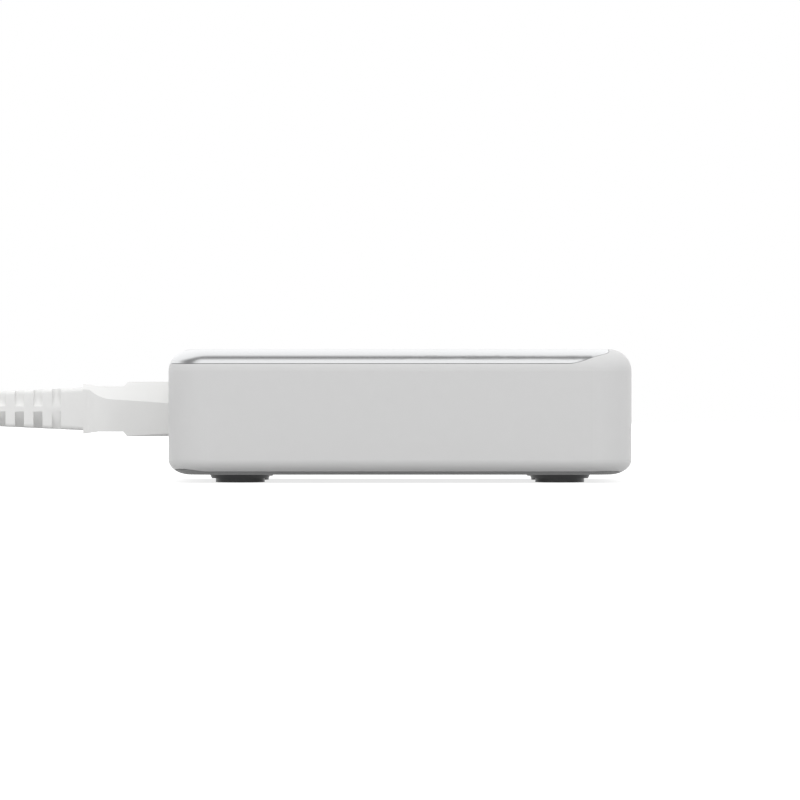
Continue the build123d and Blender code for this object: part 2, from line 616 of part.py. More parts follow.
def choke_windings():
    """Two windings, one over each side of the toroid."""
    wide = CHOKE_OUTER - CHOKE_INNER
    middle = Pos((CHOKE_OUTER + CHOKE_INNER) / 2, CHOKE_WIRE + CHOKE_HEIGHT / 2)
    wire = 2 * CHOKE_WIRE
    ring = RectangleRounded(wide + wire, CHOKE_HEIGHT + wire, CHOKE_WIRE) - Rectangle(wide, CHOKE_HEIGHT)
    turn = revolve(Plane.XZ * (middle * ring), Axis.Z, revolution_arc=CHOKE_SPAN)
    return [Rot(0, 0, -CHOKE_SPAN / 2) * turn, Rot(0, 0, 180 - CHOKE_SPAN / 2) * turn]


def safety_capacitor():
    """Disc capacitor that stands on its edge."""
    disc = extrude(Plane.XZ * Circle(SAFETY_DIAMETER / 2), SAFETY_THICKNESS / 2, both=True)
    disc = fillet(disc.edges().filter_by(GeomType.CIRCLE), SAFETY_EDGE)
    return Pos(0, 0, SAFETY_DIAMETER / 2) * disc


def switch_heatsink():
    """Angle of sheet aluminium that the mains switches stand against."""
    long, thick, tall = SWITCH_HEATSINK
    wall = Pos(0, 0, tall / 2) * Box(long, thick, tall)
    return wall + Pos(0, -(thick + HEATSINK_FOOT) / 2, thick / 2) * Box(long, HEATSINK_FOOT, thick)


def board_components():
    """Every component of the main board by name, each in its place."""
    found = {}
    # middle row, from the inlet towards the front
    x = max(leg_place(name)[0] for name in PIN_SPOTS) + PIN_DIAMETER / 2 + PART_GAP
    found["bridge_rectifier"] = on_board(bridge_rectifier(), x + BRIDGE_SIZE[0] / 2, 0)
    x += BRIDGE_SIZE[0] + PART_GAP
    wound = [("inductor", INDUCTOR_SIZE, INDUCTOR_POST, INDUCTOR_WINDOW),
             ("transformer", TRANSFORMER_SIZE, TRANSFORMER_POST, TRANSFORMER_WINDOW)]
    for title, size, post, window in wound:
        middle = x + size[0] / 2
        found[title + "_core"] = on_board(core(size, post, window), middle, 0)
        found[title + "_bobbin"] = on_board(bobbin(size, post, window), middle, 0)
        found[title + "_winding"] = on_board(winding(size, post, window), middle, 0)
        x += size[0] + PART_GAP
    sink = Box(*RECTIFIER_HEATSINK, align=(Align.MIN, Align.CENTER, Align.MIN))
    found["rectifier_heatsink"] = on_board(sink, x, 0)
    x += RECTIFIER_HEATSINK[0] + PART_GAP + OUTPUT_DIAMETER / 2
    pitch = OUTPUT_DIAMETER + PART_GAP
    for i in range(OUTPUT_COUNT):
        y = (i - (OUTPUT_COUNT - 1) / 2) * pitch
        found[f"output_capacitor_{i + 1}"] = on_board(can(OUTPUT_DIAMETER, OUTPUT_HEIGHT), x, y)
    output_x = x
    # far row: film capacitor, then the bulk capacitors
    x = BOARD_REAR + PART_GAP + FILM_SIZE[0] / 2
    y = BOARD_SIDE - EDGE_GAP - FILM_SIZE[1] / 2
    found["film_capacitor"] = on_board(block(FILM_SIZE, FILM_BEVEL), x, y)
    x += FILM_SIZE[0] / 2 + PART_GAP + BULK_DIAMETER / 2
    for i in range(BULK_COUNT):
        y = BOARD_SIDE - EDGE_GAP - BULK_DIAMETER / 2
        found[f"bulk_capacitor_{i + 1}"] = on_board(can(BULK_DIAMETER, BULK_HEIGHT), x, y)
        x += BULK_DIAMETER + EDGE_GAP
    # near row: fuse, choke, then the mains switches against their heatsink
    fuse = extrude(Circle(FUSE_DIAMETER / 2), FUSE_HEIGHT)
    fuse = fillet(fuse.faces().sort_by(Axis.Z)[-1].edges(), FUSE_EDGE)
    x = BOARD_REAR + PART_GAP + FUSE_DIAMETER / 2
    found["fuse"] = on_board(fuse, x, -BOARD_SIDE + 2 * EDGE_GAP + FUSE_DIAMETER / 2)
    reach = CHOKE_OUTER + CHOKE_WIRE
    x = REAR + FOOT_INSET_X + UPPER_BOSS_DIAMETER / 2 + PART_GAP + reach
    y = -BOARD_SIDE + EDGE_GAP + reach
    found["choke_core"] = on_board(choke_core(), x, y)
    found["choke_windings"] = Compound(children=[on_board(turn, x, y) for turn in choke_windings()])
    x += reach + PART_GAP + SWITCH_HEATSINK[0] / 2
    y = -BOARD_SIDE + EDGE_GAP + HEATSINK_FOOT + SWITCH_HEATSINK[1] / 2
    found["switch_heatsink"] = on_board(switch_heatsink(), x, y)
    y += (SWITCH_HEATSINK[1] + SWITCH_SIZE[1]) / 2
    package = Pos(0, 0, SWITCH_LIFT) * block(SWITCH_SIZE, SWITCH_BEVEL)
    for i in range(SWITCH_COUNT):
        place = x + (i - (SWITCH_COUNT - 1) / 2) * SWITCH_PITCH
        found[f"mains_switch_{i + 1}"] = on_board(package, place, y)
    x += SWITCH_HEATSINK[0] / 2 + PART_GAP + SAFETY_DIAMETER / 2
    found["safety_capacitor"] = on_board(safety_capacitor(), max(x, output_x), y)
    return found


def house_outline(half_width, low, shoulder, high, top_half_width):
    """Upright section of the connector: straight sides below, sloping sides up to a narrower top."""
    points = [(half_width, low), (half_width, shoulder), (top_half_width, high),
              (-top_half_width, high), (-half_width, shoulder), (-half_width, low)]
    return Pos(0, INLET_LEVEL) * Polygon(*points, align=None)


def connector_shell():
    """Head and neck in one form: where their section, their plan and their side outline all agree."""
    start = REAR - LEAD_SEAT_GAP
    end = REAR - NECK_END
    section = house_outline(HEAD_HALF_WIDTH, -HEAD_HALF_HEIGHT, HEAD_SHOULDER,
                            HEAD_HALF_HEIGHT, HEAD_TOP_HALF_WIDTH)
    section = chamfer(section.vertices().group_by(Axis.Y)[0], HEAD_LOW_EDGE)
    waist = (REAR - NECK_WAIST, NECK_WAIST_HALF_WIDTH)
    plan = make_face([
        Line((start, HEAD_HALF_WIDTH), waist),
        ThreePointArc(waist, (REAR - NECK_BEND[0], NECK_BEND[1]), (end, FLANGE_HALF_WIDTH)),
        Line((end, FLANGE_HALF_WIDTH), (end, 0)),
        Line((end, 0), (start, 0)),
        Line((start, 0), (start, HEAD_HALF_WIDTH)),
    ])
    plan += mirror(plan, Plane.XZ)
    step = REAR - HEAD_LENGTH
    upper = [(start, HEAD_HALF_HEIGHT), (step + HEAD_BEVEL, HEAD_HALF_HEIGHT), (step, NECK_HALF_HEIGHT),
             (REAR - FLANGE_START, NECK_HALF_HEIGHT), (end, FLANGE_HALF_HEIGHT)]
    lower = [(x, -z) for x, z in reversed(upper)]
    side = Polygon(*upper, *lower, align=None)
    level = Pos(0, 0, INLET_LEVEL)
    shell = along_x(section, end, start) & level * extrude(plan, 2 * HEAD_HALF_HEIGHT, both=True)
    return shell & level * extrude(Plane.XZ * side, 2 * HEAD_HALF_WIDTH, both=True)


def relief_half_sizes(behind):
    """Half width and half height of the strain relief at a distance behind the rear face."""
    share = (behind - NECK_END) / (RELIEF_END - NECK_END)
    return [root + share * (tip - root) for root, tip in zip(RELIEF_ROOT, RELIEF_TIP)]


def strain_relief():
    """Tapered strain relief whose four corners are cut away in a row of notches."""
    ends = []
    for behind in (NECK_END, RELIEF_END):
        half_width, half_height = relief_half_sizes(behind)
        flat = Pos(0, INLET_LEVEL) * RectangleRounded(2 * half_width, 2 * half_height, RELIEF_EDGE)
        ends.append(Plane.YZ.offset(REAR - behind) * flat)
    relief = loft(ends)
    for i in range(NOTCH_COUNT):
        behind = NOTCH_FIRST + i * NOTCH_PITCH
        half_width, half_height = relief_half_sizes(behind)
        share = NOTCH_FIRST_SHARE if i == 0 else 1.0
        ridge = half_width + share * (NOTCH_RIDGE - half_width)
        far_y = half_width + NOTCH_WIDTH
        far_z = half_height + NOTCH_WIDTH
        corner = Polygon((half_width, NOTCH_WEB), (far_y, NOTCH_WEB), (far_y, far_z),
                         (ridge, far_z), (ridge, half_height), align=None)
        corners = corner + mirror(corner, Plane.YZ)
        corners += mirror(corners, Plane.XZ)
        middle = REAR - behind
        relief -= along_x(Pos(0, INLET_LEVEL) * corners, middle - NOTCH_WIDTH / 2, middle + NOTCH_WIDTH / 2)
    return relief


def lead_connector():
    """Moulded connector: nose in the inlet, head, neck and strain relief in one piece."""
    shoulder = REAR - LEAD_SEAT_GAP
    body = connector_shell() + strain_relief()
    body += along_x(trefoil(0), shoulder, REAR + NOSE_LENGTH)
    for y, z in PIN_SPOTS.values():
        hole = Pos(y, INLET_LEVEL + z) * Circle(CONTACT_DIAMETER / 2)
        body -= along_x(hole, REAR + NOSE_LENGTH - CONTACT_SINK - CONTACT_LENGTH, REAR + NOSE_LENGTH)
    return body


def lead_contact(name):
    """Sleeve inside the connector that an inlet pin slides into."""
    y, z = PIN_SPOTS[name]
    ring = Circle(CONTACT_DIAMETER / 2) - Circle(PIN_DIAMETER / 2 + CONTACT_PLAY)
    end = REAR + NOSE_LENGTH - CONTACT_SINK
    return along_x(Pos(y, INLET_LEVEL + z) * ring, end - CONTACT_LENGTH, end)


def bend_radii(points):
    """Radius of the arc at each inner point of a route: as large as the two runs beside it allow."""
    radii = []
    for a, b, c in zip(points, points[1:], points[2:]):
        run_in, run_out = b - a, c - b
        turn = radians(run_in.get_angle(run_out))
        radii.append(BEND_SHARE * min(run_in.length, run_out.length) / tan(turn / 2))
    return radii


def cord_tube(points, title):
    """Round cord along straight runs joined by tangent arcs."""
    radii = bend_radii(points)
    print(title, "bend radii", [round(radius, 1) for radius in radii])
    path = FilletPolyline(*points, radius=radii)
    ring = Plane(origin=points[0], z_dir=points[1] - points[0]) * Circle(CORD_DIAMETER / 2)
    return sweep(ring, path=path)


def lead_route():
    """Route of the cord from the strain relief down to the coil."""
    return [RELIEF_TAIL] + [RELIEF_TAIL + Vector(*step) for step in LEAD_STEPS]


def tail_route():
    """Route of the cord from the top of the coil up to the plug that lies on it."""
    turn = radians(TAIL_START)
    level = COIL_TOP - CORD_DIAMETER / 2
    middle = COIL_CENTRE + Vector(TAIL_SHIFT * cos(turn), TAIL_SHIFT * sin(turn), level)
    return [middle + Vector(TAIL_RADIUS * cos(radians(angle)), TAIL_RADIUS * sin(radians(angle)), rise)
            for angle, rise in TAIL_STEPS]


def coil_section(grow):
    """Section of the coil, grown all round."""
    wide = COIL_OUTER - COIL_INNER
    flat = RectangleRounded(wide + 2 * grow, COIL_HEIGHT + 2 * grow, COIL_EDGE + grow)
    return Pos((COIL_OUTER + COIL_INNER) / 2, COIL_BOTTOM + COIL_HEIGHT / 2) * flat


def lead_coil():
    """Outer shape of the wound cord."""
    return Pos(*COIL_CENTRE) * revolve(Plane.XZ * coil_section(0), Axis.Z)


def cord_tie():
    """Flat tie around one place of the coil."""
    band = Plane.XZ * (coil_section(TIE_THICKNESS) - coil_section(0))
    band = revolve(band, Axis.Z, revolution_arc=TIE_SPAN)
    return Pos(*COIL_CENTRE) * Rot(0, 0, TIE_ANGLE) * band


def plug_place():
    """Place of the plug: its origin is where the cord enters and its blades point along local X."""
    end, before = tail_route()[-1], tail_route()[-2]
    heading = end - before
    return Location(Plane(origin=end, x_dir=(heading.X, heading.Y, 0), z_dir=(0, 0, 1)))


def mains_plug():
    """Moulded plug with a grooved strain relief, lying on its flat side."""
    face = PLUG_RELIEF + PLUG_TAPER + PLUG_BODY
    root = Plane.YZ.offset(PLUG_RELIEF)
    shoulder = Plane.YZ.offset(PLUG_RELIEF + PLUG_TAPER)
    relief = loft([Plane.YZ * Circle(PLUG_RELIEF_TIP), root * Circle(PLUG_RELIEF_ROOT)])
    pitch = PLUG_RELIEF / (PLUG_GROOVES + 1)
    for i in range(PLUG_GROOVES):
        middle = (i + 1) * pitch
        radius = PLUG_RELIEF_TIP + (PLUG_RELIEF_ROOT - PLUG_RELIEF_TIP) * middle / PLUG_RELIEF
        ring = Circle(PLUG_RELIEF_ROOT + PLUG_GROOVE_DEPTH) - Circle(radius - PLUG_GROOVE_DEPTH)
        relief -= along_x(ring, middle - PLUG_GROOVE_WIDTH / 2, middle + PLUG_GROOVE_WIDTH / 2)
    neck = 2 * (PLUG_RELIEF_ROOT + PLUG_STEP)
    small = RectangleRounded(neck, neck, PLUG_CORNER)
    large = RectangleRounded(PLUG_WIDTH, PLUG_HEIGHT, PLUG_CORNER)
    taper = loft([root * small, shoulder * large])
    grip = along_x(large, PLUG_RELIEF + PLUG_TAPER, face)
    grip = chamfer(grip.faces().sort_by(Axis.X)[-1].edges(), PLUG_FACE_EDGE)
    body = relief + taper + grip
    for side in (-1, 1):
        body -= plug_blade_form(side)
    return plug_place() * (body - earth_pin_form())


def plug_blade_form(side):
    """One flat blade in the frame of the plug, from its root inside to its tip."""
    face = PLUG_RELIEF + PLUG_TAPER + PLUG_BODY
    flat = Rectangle(BLADE_LENGTH + BLADE_ROOT, BLADE_WIDTH)
    flat = Pos(face + (BLADE_LENGTH - BLADE_ROOT) / 2, BLADE_RISE) * flat
    flat = chamfer(flat.vertices().group_by(Axis.X)[-1], BLADE_BEVEL)
    flat -= Pos(face + BLADE_HOLE_PLACE, BLADE_RISE) * Circle(BLADE_HOLE / 2)
    blade = extrude(Plane.XZ * flat, BLADE_THICKNESS / 2, both=True)
    return Pos(0, side * BLADE_SPACING / 2, 0) * blade


def earth_pin_form():
    """Round earth pin in the frame of the plug, with a round tip."""
    face = PLUG_RELIEF + PLUG_TAPER + PLUG_BODY
    radius = EARTH_DIAMETER / 2
    rod = along_x(Pos(0, -EARTH_DROP) * Circle(radius), face - BLADE_ROOT, face + EARTH_LENGTH - radius)
    return rod + Pos(face + EARTH_LENGTH - radius, 0, -EARTH_DROP) * Sphere(radius)


def build():
    """Every part by name."""
    parts = {"main_housing": main_housing(), "top_cover": top_cover(), "bottom_cover": bottom_cover()}
    for i, (x, y) in enumerate(FOOT_SPOTS):
        parts[f"foot_{i + 1}"] = Pos(x, y, 0) * foot()
    screws = [Pos(x, y, SCREW_SEAT) * cover_screw() for x, y in FOOT_SPOTS]
    parts["cover_screws"] = Compound(children=screws)
    parts["insulating_sheet"] = insulating_sheet()
    parts["main_board"] = main_board()
    parts["port_board"] = port_board()
    for i in range(USB_C_COUNT):
        parts[f"usb_c_shell_{i + 1}"] = port_shell(i)
        parts[f"usb_c_tongue_{i + 1}"] = usb_c_tongue(i)
    parts["usb_a_shell"] = port_shell(USB_C_COUNT)
    parts["usb_a_tongue"] = usb_a_tongue()
    parts["usb_a_contacts"] = usb_a_contacts()
    parts["inlet_body"] = inlet_body()
    for name in PIN_SPOTS:
        parts[f"inlet_pin_{name}"] = inlet_pin(name)
    parts.update(board_components())
    parts["lead_connector"] = lead_connector()
    for name in PIN_SPOTS:
        parts[f"lead_contact_{name}"] = lead_contact(name)
    coil = lead_coil()
    parts["lead_coil"] = coil
    parts["lead_cord"] = cord_tube(lead_route(), "lead") - coil
    parts["lead_tail"] = cord_tube(tail_route(), "tail") - coil
    parts["cord_tie"] = cord_tie()
    parts["mains_plug"] = mains_plug()
    parts["plug_blade_line"] = plug_place() * plug_blade_form(-1)
    parts["plug_blade_neutral"] = plug_place() * plug_blade_form(1)
    parts["plug_earth_pin"] = plug_place() * earth_pin_form()
    return parts


os.makedirs("parts", exist_ok=True)
for title, shape in build().items():
    export_step(shape, f"parts/{title}.step")
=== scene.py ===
"""USB desktop charger: finishes, mains cord and studio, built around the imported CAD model."""

from math import atan2, copysign, cos, hypot, pi, radians, sin

import bmesh
import bpy
from bpy.props import FloatProperty, FloatVectorProperty, IntProperty, PointerProperty
from mathutils import Matrix, Vector


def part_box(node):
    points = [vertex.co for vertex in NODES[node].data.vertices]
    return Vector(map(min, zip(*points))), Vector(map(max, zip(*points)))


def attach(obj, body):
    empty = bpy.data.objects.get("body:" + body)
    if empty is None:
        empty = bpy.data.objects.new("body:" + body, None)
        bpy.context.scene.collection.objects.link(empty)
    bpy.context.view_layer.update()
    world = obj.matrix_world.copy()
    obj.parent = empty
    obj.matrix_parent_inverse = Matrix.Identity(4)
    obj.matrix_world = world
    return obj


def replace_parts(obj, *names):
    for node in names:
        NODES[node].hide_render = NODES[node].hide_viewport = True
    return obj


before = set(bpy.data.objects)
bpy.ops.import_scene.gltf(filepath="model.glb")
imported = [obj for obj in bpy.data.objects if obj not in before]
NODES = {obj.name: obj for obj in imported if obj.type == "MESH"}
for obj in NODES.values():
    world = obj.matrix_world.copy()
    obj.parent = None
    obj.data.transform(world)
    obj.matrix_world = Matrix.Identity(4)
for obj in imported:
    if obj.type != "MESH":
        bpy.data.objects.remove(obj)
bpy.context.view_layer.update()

bl_info = {
    "name": "USB desktop charger",
    "version": (1, 0, 0),
    "blender": (4, 5, 0),
    "location": "3D View > Sidebar > Charger",
    "description": "Finishes of the charger, its mains cord and the studio around it",
    "category": "Object",
}

BODY = "root"
MM = 0.001


def linear(hex_colour):
    """Linear red, green and blue of an sRGB hex colour."""
    shares = [int(hex_colour[i:i + 2], 16) / 255 for i in (1, 3, 5)]
    return tuple(s / 12.92 if s <= 0.04045 else ((s + 0.055) / 1.055) ** 2.4 for s in shares)


def per_metre(millimetres):
    """Texture scale at which one cell of a pattern has that size."""
    return 1000.0 / millimetres


def add_node(tree, kind, settings=None, links=None):
    """Adds a node, sets properties by name and sockets by name or number, and links sockets to outputs."""
    node = tree.nodes.new(kind)
    for name, value in (settings or {}).items():
        if isinstance(name, str) and hasattr(node, name):
            setattr(node, name, value)
        else:
            node.inputs[name].default_value = value
    for name, output in (links or {}).items():
        tree.links.new(output, node.inputs[name])
    return node


def add_math(tree, operation, *terms):
    """Result of a maths node whose terms are numbers or the outputs of other nodes."""
    numbers = {i: term for i, term in enumerate(terms) if isinstance(term, float)}
    outputs = {i: term for i, term in enumerate(terms) if i not in numbers}
    return add_node(tree, "ShaderNodeMath", {"operation": operation, **numbers}, outputs).outputs["Value"]


def find_node(tree, kind):
    """First node of that kind."""
    return next(node for node in tree.nodes if node.bl_idname == kind)


def grey(level):
    """Opaque grey of that level."""
    return (level, level, level, 1.0)


def colour_property(title, note, hex_colour):
    """Colour that a user may change, written as sRGB hex."""
    return FloatVectorProperty(name=title, description=note, subtype="COLOR", size=3,
                               min=0.0, max=1.0, default=linear(hex_colour))


def length_property(title, note, millimetres):
    """Length that a user may change, written in millimetres."""
    return FloatProperty(name=title, description=note, unit="LENGTH", default=millimetres * MM)


class ChargerColours(bpy.types.PropertyGroup):
    """Colours of the pieces that show."""

    housing: colour_property("Housing", "Grey plastic of the side walls", "#CBCBCB")
    top_cover: colour_property("Top cover", "Polished metal of the top", "#E7E8E9")
    # the darker grey of the bottom cover is shade of the underside painted into its colour
    base: colour_property("Bottom cover", "Grey plastic of the underside", "#828282")
    feet: colour_property("Feet", "Black rubber of the feet", "#1E1E1F")
    lead: colour_property("Mains lead", "White vinyl of connector, cord and plug", "#E1E1E0")
    tie: colour_property("Cord tie", "Black woven tape", "#18191B")


class CordSettings(bpy.types.PropertyGroup):
    """Sizes of the mains cord and of its coil."""

    diameter: length_property("Diameter", "Outside of the cord", 6.0)
    length: length_property("Length", "Cord from the connector to the plug", 1000.0)
    inner_radius: length_property("Inner turns", "Middle of the inner turns of the coil", 33.0)
    outer_radius: length_property("Outer turns", "Middle of the outer turns of the coil", 39.0)
    low_layer: length_property("Lower layer", "Middle of the lower turns above the table", 3.8)
    high_layer: length_property("Upper layer", "Middle of the upper turns above the table", 9.8)
    steps: IntProperty(name="Points in a turn", description="Control points in one turn of the coil",
                       default=18, min=12)


class StageSettings(bpy.types.PropertyGroup):
    """Camera, lamps and backdrop."""

    camera_distance: length_property("Camera distance", "Camera in front of the middle of the charger",
                                     1238.0)
    camera_height: length_property("Camera height", "Camera above the table", 22.3)
    half_view: length_property("Half view", "Half of the picture's width at the middle of the charger", 110.4)
    studio: FloatProperty(name="Studio", description="Radiance of the brightest part of the studio's walls",
                          default=1.17)
    floor_radius: length_property("Floor radius", "Edge of the round floor from the charger", 3000.0)


class ChargerSettings(bpy.types.PropertyGroup):
    """Everything that can be set."""

    colours: PointerProperty(type=ChargerColours)
    cord: PointerProperty(type=CordSettings)
    stage: PointerProperty(type=StageSettings)


PATCH_RATIO = 10.0            # size of the patches of a finish, in sizes of its grain
PATCH_DETAIL = 3.0
GRAIN_DETAIL = 2.0
NOISE_SPAN = (0.25, 0.75)     # nearly all values of the noise lie in here
GLOSS_SPREAD = 2.0            # how much more the roughness varies than the colour
WAVE_PHASE = 20.0             # radians that the wave texture runs through per unit of its scale


def grained(title, colour, roughness, grain, relief, spread=0.03, stretch=(1.0, 1.0, 1.0), **sockets):
    """Material with a grain of that size and relief in millimetres, drawn out along each axis by stretch.

    The colour varies by the share spread, and the roughness by twice that, over patches of many grains."""
    material = bpy.data.materials.new(title)
    material.use_nodes = True
    tree = material.node_tree
    tree.nodes.clear()
    place = add_node(tree, "ShaderNodeTexCoord")
    drawn = add_node(tree, "ShaderNodeMapping", {"Scale": [1.0 / s for s in stretch]},
                     {"Vector": place.outputs["Object"]})
    patches = add_node(tree, "ShaderNodeTexNoise",
                       {"Scale": per_metre(PATCH_RATIO * grain), "Detail": PATCH_DETAIL},
                       {"Vector": drawn.outputs["Vector"]})
    fine = add_node(tree, "ShaderNodeTexNoise", {"Scale": per_metre(grain), "Detail": GRAIN_DETAIL},
                    {"Vector": drawn.outputs["Vector"]})
    tint = add_node(tree, "ShaderNodeValToRGB", links={"Fac": patches.outputs["Fac"]})
    shares = (1.0 - spread, 1.0 + spread)
    for stop, position, share in zip(tint.color_ramp.elements, NOISE_SPAN, shares):
        stop.position = position
        stop.color = [min(1.0, channel * share) for channel in colour] + [1.0]
    gloss = add_node(tree, "ShaderNodeMapRange",
                     {"From Min": NOISE_SPAN[0], "From Max": NOISE_SPAN[1],
                      "To Min": roughness * (1.0 - GLOSS_SPREAD * spread),
                      "To Max": roughness * (1.0 + GLOSS_SPREAD * spread)},
                     {"Value": patches.outputs["Fac"]})
    bump = add_node(tree, "ShaderNodeBump", {"Distance": relief * MM}, {"Height": fine.outputs["Fac"]})
    shader = add_node(tree, "ShaderNodeBsdfPrincipled", sockets,
                      {"Base Color": tint.outputs["Color"], "Roughness": gloss.outputs["Result"],
                       "Normal": bump.outputs["Normal"]})
    add_node(tree, "ShaderNodeOutputMaterial", links={"Surface": shader.outputs["BSDF"]})
    return material


def ribbed(title, colour, roughness, pitch, relief, axis, **sockets):
    """Material with parallel round ribs of that pitch and relief in millimetres along one axis."""
    material = grained(title, colour, roughness, pitch, relief, **sockets)
    tree = material.node_tree
    place = find_node(tree, "ShaderNodeTexCoord")
    bump = find_node(tree, "ShaderNodeBump")
    ribs = add_node(tree, "ShaderNodeTexWave",
                    {"bands_direction": axis, "Scale": per_metre(pitch) * 2.0 * pi / WAVE_PHASE},
                    {"Vector": place.outputs["Object"]})
    tree.links.new(ribs.outputs["Fac"], bump.inputs["Height"])
    return material


def woven(title, colour, roughness, pitch, relief, turn, **sockets):
    """Material with a plain weave of that pitch and relief in millimetres, turned about the upright axis."""
    material = ribbed(title, colour, roughness, pitch, relief, "Y", **sockets)
    tree = material.node_tree
    place = find_node(tree, "ShaderNodeTexCoord")
    bump = find_node(tree, "ShaderNodeBump")
    warp = find_node(tree, "ShaderNodeTexWave")
    turned = add_node(tree, "ShaderNodeMapping", {"Rotation": (0.0, 0.0, -turn)},
                      {"Vector": place.outputs["Object"]})
    tree.links.new(turned.outputs["Vector"], warp.inputs["Vector"])
    weft = add_node(tree, "ShaderNodeTexWave",
                    {"bands_direction": "DIAGONAL", "Scale": warp.inputs["Scale"].default_value},
                    {"Vector": turned.outputs["Vector"]})
    cloth = add_math(tree, "MULTIPLY", warp.outputs["Fac"], weft.outputs["Fac"])
    tree.links.new(cloth, bump.inputs["Height"])
    return material


def dress(material, *names):
    """Gives CAD nodes, named whole or by their first letters, one material."""
    found = [name for name in NODES if name.startswith(names)]
    if not found:
        raise RuntimeError(f"no CAD node is named {names}")
    for name in found:
        NODES[name].data.materials.clear()
        NODES[name].data.materials.append(material)


def dress_painted_seam_shade(material, name, least_upward):
    """Gives a node's faces that look down, sideways or only slightly up a second material, a darker one that
    paints shade on them.
    """
    mesh = NODES[name].data
    mesh.materials.append(material)
    for face in mesh.polygons:
        face.material_index = 0 if face.normal.z > least_upward else len(mesh.materials) - 1


def add_piece(title, data, material):
    """Links a new piece to the scene, rides it on the charger and gives it its finish."""
    piece = bpy.data.objects.new(title, data)
    bpy.context.scene.collection.objects.link(piece)
    piece.data.materials.append(material)
    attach(piece, BODY)
    return piece


# faces of the top cover less upward than this get the darker material that paints the seam's shade
SKIN_UPWARD = 0.3             # least upward share of a normal on the outer skin of the top cover


class CHARGER_OT_shell(bpy.types.Operator):
    """Finishes the housing and the two covers"""

    bl_idname = "charger.shell"
    bl_label = "Housing and covers"

    def execute(self, context):
        colours = context.scene.charger.colours
        # moulded ABS from a spark-eroded mould: an even satin, with a grain too fine to see as dots
        dress(grained("ABS, satin moulded", colours.housing, roughness=0.46, grain=0.35, relief=0.002,
                      spread=0.006, IOR=1.5), "main_housing")
        # aluminium polished on a wheel: a clear reflection with a trace of haze along the wheel's path
        dress(grained("Aluminium, polished", colours.top_cover, roughness=0.22, grain=0.8, relief=0.0002,
                      spread=0.02, stretch=(8.0, 1.0, 1.0), Metallic=1.0), "top_cover")
        # its inner side and other faces that look down or sideways: dull, with shade painted in as a darker
        # grey, so that the seam reads as a shadow
        dress_painted_seam_shade(grained("Aluminium, with painted seam shade", linear("#8A8B8D"), roughness=0.62, grain=0.5, relief=0.01,
                             spread=0.05, Metallic=1.0), "top_cover", SKIN_UPWARD)
        # the same plastic as the housing, with a slightly coarser grain; its darker grey is shade of the
        # underside painted into the colour
        dress(grained("ABS, grained, painted underside shade", colours.base, roughness=0.55, grain=0.5, relief=0.006, spread=0.01,
                      IOR=1.52), "bottom_cover")
        return {"FINISHED"}


class CHARGER_OT_feet(bpy.types.Operator):
    """Finishes the feet and the screws that they hide"""

    bl_idname = "charger.feet"
    bl_label = "Feet and screws"

    def execute(self, context):
        # compression moulded rubber: black, with a soft sheen and a mottled skin
        dress(grained("Rubber, compression moulded", context.scene.charger.colours.feet, roughness=0.36,
                      grain=0.4, relief=0.006, spread=0.08, IOR=1.52), "foot_")
        # zinc plated steel: bluish silver, with a fine even grain
        dress(grained("Steel, zinc plated", linear("#B9BCC0"), roughness=0.32, grain=0.3, relief=0.004,
                      spread=0.05, Metallic=1.0), "cover_screws")
        return {"FINISHED"}


CONTACT_COUNT = 12
CONTACT_PITCH = 0.5 * MM
CONTACT_WIDTH = 0.28 * MM
CONTACT_LENGTH = 3.2 * MM
CONTACT_RISE = 0.03 * MM
CONTACT_TIP = 0.8 * MM        # behind the tip of the tongue
CONTACT_ROUND = CONTACT_WIDTH / 4
CONTACT_ROUND_STEPS = 2
TONGUE_THICKNESS = 0.7 * MM


def contact_pads(node):
    """Mesh of the flat contacts on both faces of a USB-C tongue."""
    low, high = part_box(node)
    middle = (low + high) / 2
    shape = bmesh.new()
    for side in (-1, 1):
        for i in range(CONTACT_COUNT):
            level = middle.z + (i - (CONTACT_COUNT - 1) / 2) * CONTACT_PITCH
            place = Vector((high.x - CONTACT_TIP - CONTACT_LENGTH / 2,
                            middle.y + side * TONGUE_THICKNESS / 2, level))
            size = Matrix.Diagonal((CONTACT_LENGTH, 2 * CONTACT_RISE, CONTACT_WIDTH, 1.0))
            bmesh.ops.create_cube(shape, size=1.0, matrix=Matrix.Translation(place) @ size)
    # the edges that stand up from the tongue
    upright = [edge for edge in shape.edges if abs((edge.verts[0].co - edge.verts[1].co).y) > CONTACT_RISE]
    bmesh.ops.bevel(shape, geom=upright, offset=CONTACT_ROUND, segments=CONTACT_ROUND_STEPS, affect="EDGES")
    mesh = bpy.data.meshes.new(node + "_pads")
    shape.to_mesh(mesh)
    shape.free()
    return mesh


class CHARGER_OT_ports(bpy.types.Operator):
    """Finishes the USB ports and adds the contacts of the USB-C tongues"""

    bl_idname = "charger.ports"
    bl_label = "USB ports"

    def execute(self, context):
        # drawn steel shells, nickel plated: warm silver with fine lines along the draw
        dress(grained("Steel, nickel plated", linear("#C9C8C4"), roughness=0.24, grain=0.12, relief=0.001,
                      spread=0.05, stretch=(12.0, 1.0, 1.0), Metallic=1.0), "usb_c_shell", "usb_a_shell")
        # glass-filled liquid crystal polymer: near black, dull, with short glass fibres at the surface
        dress(grained("LCP, glass filled", linear("#1E1E20"), roughness=0.5, grain=0.15, relief=0.003,
                      spread=0.10, stretch=(4.0, 1.0, 1.0), IOR=1.6), "usb_c_tongue", "usb_a_tongue")
        # hard gold over nickel: bright yellow, slightly rubbed along the way of the plug
        gold = grained("Copper alloy, gold plated", linear("#E2B65C"), roughness=0.2, grain=0.1,
                       relief=0.0005, spread=0.05, stretch=(10.0, 1.0, 1.0), Metallic=1.0)
        dress(gold, "usb_a_contacts", "lead_contact")
        for node in sorted(name for name in NODES if name.startswith("usb_c_tongue")):
            add_piece(node.replace("tongue", "contacts"), contact_pads(node), gold)
        return {"FINISHED"}


